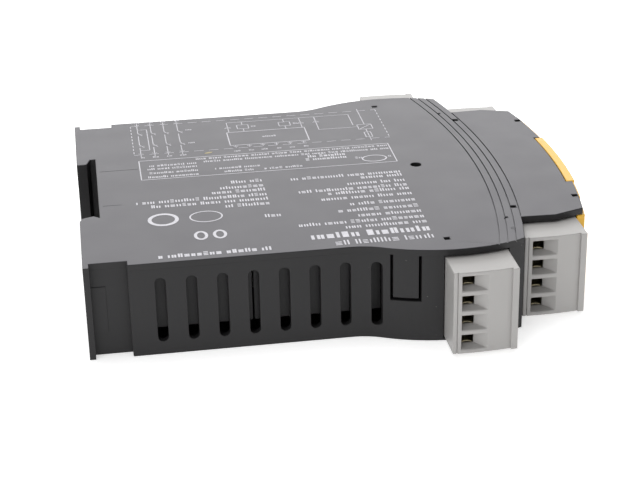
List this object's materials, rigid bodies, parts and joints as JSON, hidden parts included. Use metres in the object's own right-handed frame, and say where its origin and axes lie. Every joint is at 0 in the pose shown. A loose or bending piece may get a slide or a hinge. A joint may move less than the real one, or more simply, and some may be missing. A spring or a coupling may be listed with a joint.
{
  "type": "safety relay",
  "caption": "Slim safety relay for rail mounting: curved housing with vent slots, four plug-in screw terminals and a yellow clip-on front.",
  "frame": {"origin": "on the rail centre line, at the housing's rear plane and flat underside", "axes": "+X from the rail side to the front, +Y across the height of the unit, +Z through its width; it lies on its flat side"},
  "size_m": [0.1194, 0.1166, 0.0225],
  "materials": {
    "housing": "satin moulded, dark grey",
    "side_plate": "satin moulded, mid grey",
    "front": "semi-gloss yellow",
    "plug": "satin moulded, light grey",
    "screw": "zinc plated",
    "clamp": "tin-brass, slightly dull",
    "header": "satin black",
    "contact": "bright",
    "latch": "satin black",
    "spring": "spring steel",
    "board": "green solder mask",
    "relay": "sealed case, off-white",
    "core": "varnished laminations",
    "coil": "insulating tape",
    "capacitor": "shrink sleeve",
    "varistor": "dipped, blue",
    "chip": "moulded epoxy",
    "fuse": "brown moulded case",
    "switch": "red switch case",
    "slider": "white",
    "lamp": "clear lamp",
    "light_pipe": "clear, polished"
  },
  "bodies": {
    "housing": {"base_shell": "housing", "side_cover": "side_plate", "main_board": "board", "relay_1": "relay", "relay_2": "relay", "transformer_core": "core", "transformer_coil": "coil", "capacitor": "capacitor", "varistor": "varistor", "logic_chips": "chip", "fuse": "fuse", "setting_switch": "switch", "indicator_lamps": "lamp", "light_pipes": "light_pipe", "latch_spring": "spring", "header_rear_near": "header", "pins_rear_near": "contact", "header_rear_far": "header", "pins_rear_far": "contact", "header_front_near": "header", "pins_front_near": "contact", "header_front_far": "header", "pins_front_far": "contact"},
    "plug_rear_near": {"plug_rear_near": "plug", "screws_rear_near": "screw", "clamps_rear_near": "clamp"},
    "plug_rear_far": {"plug_rear_far": "plug", "screws_rear_far": "screw", "clamps_rear_far": "clamp"},
    "plug_front_near": {"plug_front_near": "plug", "screws_front_near": "screw", "clamps_front_near": "clamp"},
    "plug_front_far": {"plug_front_far": "plug", "screws_front_far": "screw", "clamps_front_far": "clamp"},
    "front_cover": {"front_cover": "front"},
    "rail_latch": {"rail_latch": "latch"},
    "setting_slider_1": {"setting_slider_1": "slider"},
    "setting_slider_2": {"setting_slider_2": "slider"}
  },
  "joints": [
    {"name": "plug_rear_near_pull", "type": "slide", "parent": "housing", "child": "plug_rear_near", "axis": [0, -1, 0], "range_m": [0, 0.012]},
    {"name": "plug_rear_far_pull", "type": "slide", "parent": "housing", "child": "plug_rear_far", "axis": [0, 1, 0], "range_m": [0, 0.012]},
    {"name": "plug_front_near_pull", "type": "slide", "parent": "housing", "child": "plug_front_near", "axis": [0, -1, 0], "range_m": [0, 0.012]},
    {"name": "plug_front_far_pull", "type": "slide", "parent": "housing", "child": "plug_front_far", "axis": [0, 1, 0], "range_m": [0, 0.012]},
    {"name": "front_cover_pull", "type": "slide", "parent": "housing", "child": "front_cover", "axis": [1, 0, 0], "range_m": [0, 0.012]},
    {"name": "rail_latch_slide", "type": "slide", "parent": "housing", "child": "rail_latch", "axis": [0, -1, 0], "range_m": [0, 0.0027], "stiffness_N_per_m": 1500, "springref_m": -0.001, "deforming": ["latch_spring"]},
    {"name": "setting_slider_1_set", "type": "slide", "parent": "housing", "child": "setting_slider_1", "axis": [0, 0, 1], "range_m": [0, 0.0015]},
    {"name": "setting_slider_2_set", "type": "slide", "parent": "housing", "child": "setting_slider_2", "axis": [0, 0, 1], "range_m": [0, 0.0015]}
  ]
}
